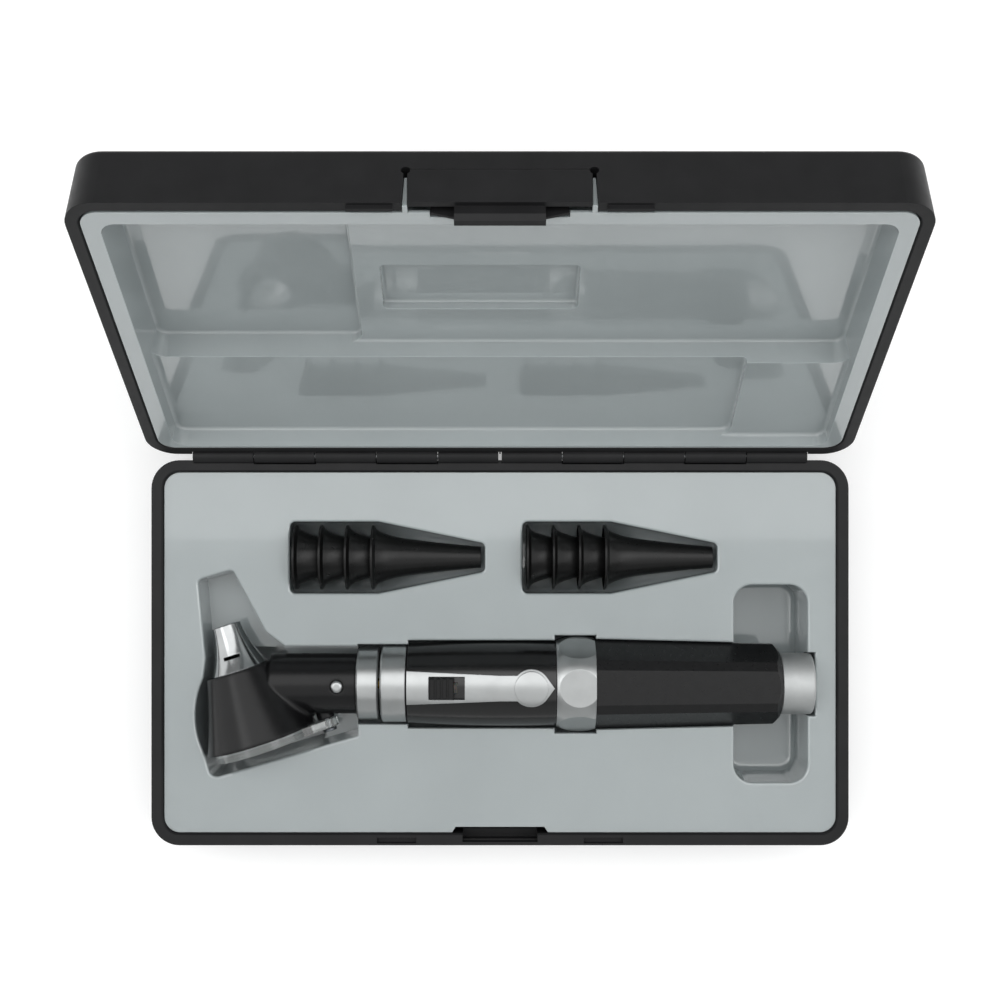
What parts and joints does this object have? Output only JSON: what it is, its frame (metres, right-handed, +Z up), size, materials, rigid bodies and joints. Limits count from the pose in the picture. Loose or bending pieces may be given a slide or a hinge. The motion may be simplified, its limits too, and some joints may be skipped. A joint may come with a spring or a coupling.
{
  "type": "otoscope carry case",
  "caption": "Hinged black carry case with a formed grey tray that holds a handheld otoscope and two nested stacks of ear specula; the lid snaps shut with a springy tongue.",
  "frame": {"origin": "centre of the case's flat underside", "axes": "+X to the handle's end cap, +Y towards the hinge, +Z up; the lid stands open at rest"},
  "size_m": [0.21, 0.1887, 0.1283],
  "materials": {
    "case_plastic": "fine moulded texture",
    "formed_sheet": "smooth vacuum-formed sheet",
    "steel": "drawn",
    "head_plastic": "satin moulded",
    "chrome": "satin plated",
    "clear_lens": "polished",
    "barrel_black": "smooth moulded",
    "sleeve_black": "satin moulded",
    "button_black": "moulded",
    "specula_black": "smooth moulded",
    "brass": "turned",
    "white_plastic": "moulded",
    "cell_jacket": "smooth jacket"
  },
  "bodies": {
    "base": {"base_shell": "case_plastic", "tray_insert": "formed_sheet", "hinge_pin_left": "steel", "hinge_pin_right": "steel"},
    "lid": {"lid_shell": "case_plastic", "lid_lining": "formed_sheet"},
    "latch": {"latch_tongue": "case_plastic"},
    "otoscope": {"head_housing": "head_plastic", "speculum_seat": "chrome", "lens_pivot": "chrome", "neck_stud": "chrome", "lamp": "brass", "head_collar": "chrome", "handle_collar": "chrome", "contact_bush": "white_plastic", "contact_pin": "brass", "front_barrel": "barrel_black", "switch_plate": "chrome", "centre_ring": "chrome", "rear_sleeve": "sleeve_black", "battery_carrier": "white_plastic", "battery_front": "cell_jacket", "battery_rear": "cell_jacket"},
    "button": {"switch_button": "button_black"},
    "lens": {"viewing_lens": "clear_lens"},
    "cap": {"end_cap": "chrome", "battery_spring": "steel"},
    "specula_left": {"speculum_left_1": "specula_black", "speculum_left_2": "specula_black", "speculum_left_3": "specula_black", "speculum_left_4": "specula_black"},
    "specula_right": {"speculum_right_1": "specula_black", "speculum_right_2": "specula_black", "speculum_right_3": "specula_black", "speculum_right_4": "specula_black"}
  },
  "joints": [
    {"name": "lid_hinge", "type": "hinge", "parent": "base", "child": "lid", "pos_m": [0, 0.0592, 0.025], "axis": [-1, 0, 0], "range_deg": [-119.2, 0]},
    {"name": "latch_flex", "type": "hinge", "parent": "lid", "child": "latch", "pos_m": [0, 0.12482, 0.1212], "axis": [1, 0, 0], "range_deg": [0, 4], "stiffness_Nm_per_rad": 0.8},
    {"name": "otoscope_lift", "type": "slide", "parent": "base", "child": "otoscope", "axis": [0, 0, 1], "range_m": [0, 0.06]},
    {"name": "switch_slide", "type": "slide", "parent": "otoscope", "child": "button", "axis": [1, 0, 0], "range_m": [0, 0.003]},
    {"name": "lens_swing", "type": "hinge", "parent": "otoscope", "child": "lens", "pos_m": [-0.05268, -0.02013, 0.0215], "axis": [-0.304, 0.9527, 0], "range_deg": [0, 75]},
    {"name": "end_cap_turn", "type": "hinge", "parent": "otoscope", "child": "cap", "pos_m": [0.0844, -0.00964, 0.0215], "axis": [1, 0, 0], "range_deg": [0, 1080]},
    {"name": "specula_left_lift", "type": "slide", "parent": "base", "child": "specula_left", "axis": [0, 0, 1], "range_m": [0, 0.05]},
    {"name": "specula_right_lift", "type": "slide", "parent": "base", "child": "specula_right", "axis": [0, 0, 1], "range_m": [0, 0.05]}
  ]
}
